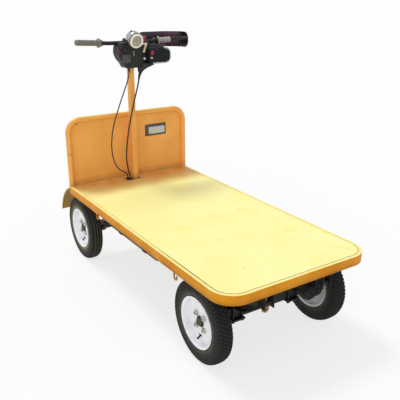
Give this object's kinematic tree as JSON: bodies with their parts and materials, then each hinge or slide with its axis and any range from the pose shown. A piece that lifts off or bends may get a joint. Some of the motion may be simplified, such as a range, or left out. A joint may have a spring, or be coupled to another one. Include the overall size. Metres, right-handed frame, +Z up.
{
  "type": "electric platform cart",
  "caption": "Electric platform cart with a flat steel deck, low tube headboard, standing handlebar column with lamp, front fenders and steered pneumatic wheels.",
  "frame": {"origin": "on the floor under the middle of the bounding box", "axes": "+X forward to the headboard, +Y to the left, +Z up"},
  "size_m": [1.987, 0.9, 1.4915],
  "materials": {
    "frame_paint": "satin",
    "deck_paint": "satin",
    "chassis_black": "satin",
    "bare_steel": "satin",
    "tyre_rubber": "matte",
    "rubber": "matte",
    "rim_paint": "gloss",
    "black_plastic": "matte",
    "guard_plastic": "gloss",
    "grip_rubber": "matte",
    "chrome": "gloss",
    "lamp_plastic": "gloss",
    "lamp_glass": "gloss",
    "red_plastic": "gloss",
    "cream_paint": "satin",
    "axle_aluminium": "satin",
    "black_cable": "matte"
  },
  "bodies": {
    "chassis": {"side_rails": "frame_paint", "rail_rear": "frame_paint", "rail_front": "frame_paint", "deck_sheet": "deck_paint", "subrails": "chassis_black", "cross_members": "chassis_black", "headboard_frame": "frame_paint", "headboard_panel": "frame_paint", "front_fenders": "frame_paint", "rope_hooks": "frame_paint", "front_axle_beam": "chassis_black", "front_axle_stands": "chassis_black", "steering_post": "frame_paint", "post_bushes": "black_plastic", "cable_grommet": "rubber", "rear_axle_beam": "chassis_black", "rear_brake_plates": "chassis_black", "drive_unit": "axle_aluminium", "leaf_springs": "chassis_black", "spring_hangers": "chassis_black", "axle_clamps": "bare_steel", "tow_lug": "frame_paint", "battery_box": "chassis_black", "controller": "axle_aluminium", "brake_cable": "black_cable", "control_loom": "black_cable"},
    "steering": {"steering_shaft": "bare_steel", "handlebar_tube": "chassis_black", "handlebar_clamp": "bare_steel", "grips": "grip_rubber", "brake_lever_left": "bare_steel", "brake_lever_right": "bare_steel", "hand_guard": "guard_plastic", "head_cover": "black_plastic", "lamp_shell": "chrome", "lamp_gasket": "rubber", "lamp_ring": "lamp_plastic", "lamp_lens": "lamp_glass", "control_box": "black_plastic", "red_switches": "red_plastic", "lamp_stay": "cream_paint"},
    "knuckle_left": {"knuckle_left": "chassis_black"},
    "knuckle_right": {"knuckle_right": "chassis_black"},
    "tie_rod": {"tie_rod": "bare_steel"},
    "wheel_front_left": {"front_left_tyre": "tyre_rubber", "front_left_rim": "rim_paint", "front_left_hub": "bare_steel"},
    "wheel_front_right": {"front_right_tyre": "tyre_rubber", "front_right_rim": "rim_paint", "front_right_hub": "bare_steel"},
    "wheel_rear_left": {"rear_left_tyre": "tyre_rubber", "rear_left_rim": "rim_paint", "rear_left_hub": "bare_steel"},
    "wheel_rear_right": {"rear_right_tyre": "tyre_rubber", "rear_right_rim": "rim_paint", "rear_right_hub": "bare_steel"}
  },
  "joints": [
    {"name": "steer", "type": "hinge", "parent": "chassis", "child": "steering", "pos_m": [0.72055, 0, 0.9], "axis": [0, 0, 1], "range_deg": [-35, 35]},
    {"name": "knuckle_turn_left", "type": "hinge", "parent": "chassis", "child": "knuckle_left", "pos_m": [0.72055, 0.3, 0.215], "axis": [0, 0, 1], "range_deg": [-35, 35]},
    {"name": "knuckle_turn_right", "type": "hinge", "parent": "chassis", "child": "knuckle_right", "pos_m": [0.72055, -0.3, 0.215], "axis": [0, 0, 1], "range_deg": [-35, 35]},
    {"name": "tie_rod_pivot", "type": "hinge", "parent": "steering", "child": "tie_rod", "pos_m": [0.61555, 0, 0.228], "axis": [0, 0, 1], "range_deg": [-35, 35]},
    {"name": "spin_front_left", "type": "hinge", "parent": "knuckle_left", "child": "wheel_front_left", "pos_m": [0.72055, 0.385, 0.215], "axis": [0, 1, 0], "continuous": true},
    {"name": "spin_front_right", "type": "hinge", "parent": "knuckle_right", "child": "wheel_front_right", "pos_m": [0.72055, -0.385, 0.215], "axis": [0, 1, 0], "continuous": true},
    {"name": "spin_rear_left", "type": "hinge", "parent": "chassis", "child": "wheel_rear_left", "pos_m": [-0.68945, 0.364, 0.215], "axis": [0, 1, 0], "continuous": true},
    {"name": "spin_rear_right", "type": "hinge", "parent": "chassis", "child": "wheel_rear_right", "pos_m": [-0.68945, -0.364, 0.215], "axis": [0, 1, 0], "continuous": true}
  ],
  "couplings": [
    {"joint": "knuckle_turn_left", "follows": "steer", "ratio": 1},
    {"joint": "knuckle_turn_right", "follows": "steer", "ratio": 1},
    {"joint": "tie_rod_pivot", "follows": "steer", "ratio": -1}
  ]
}
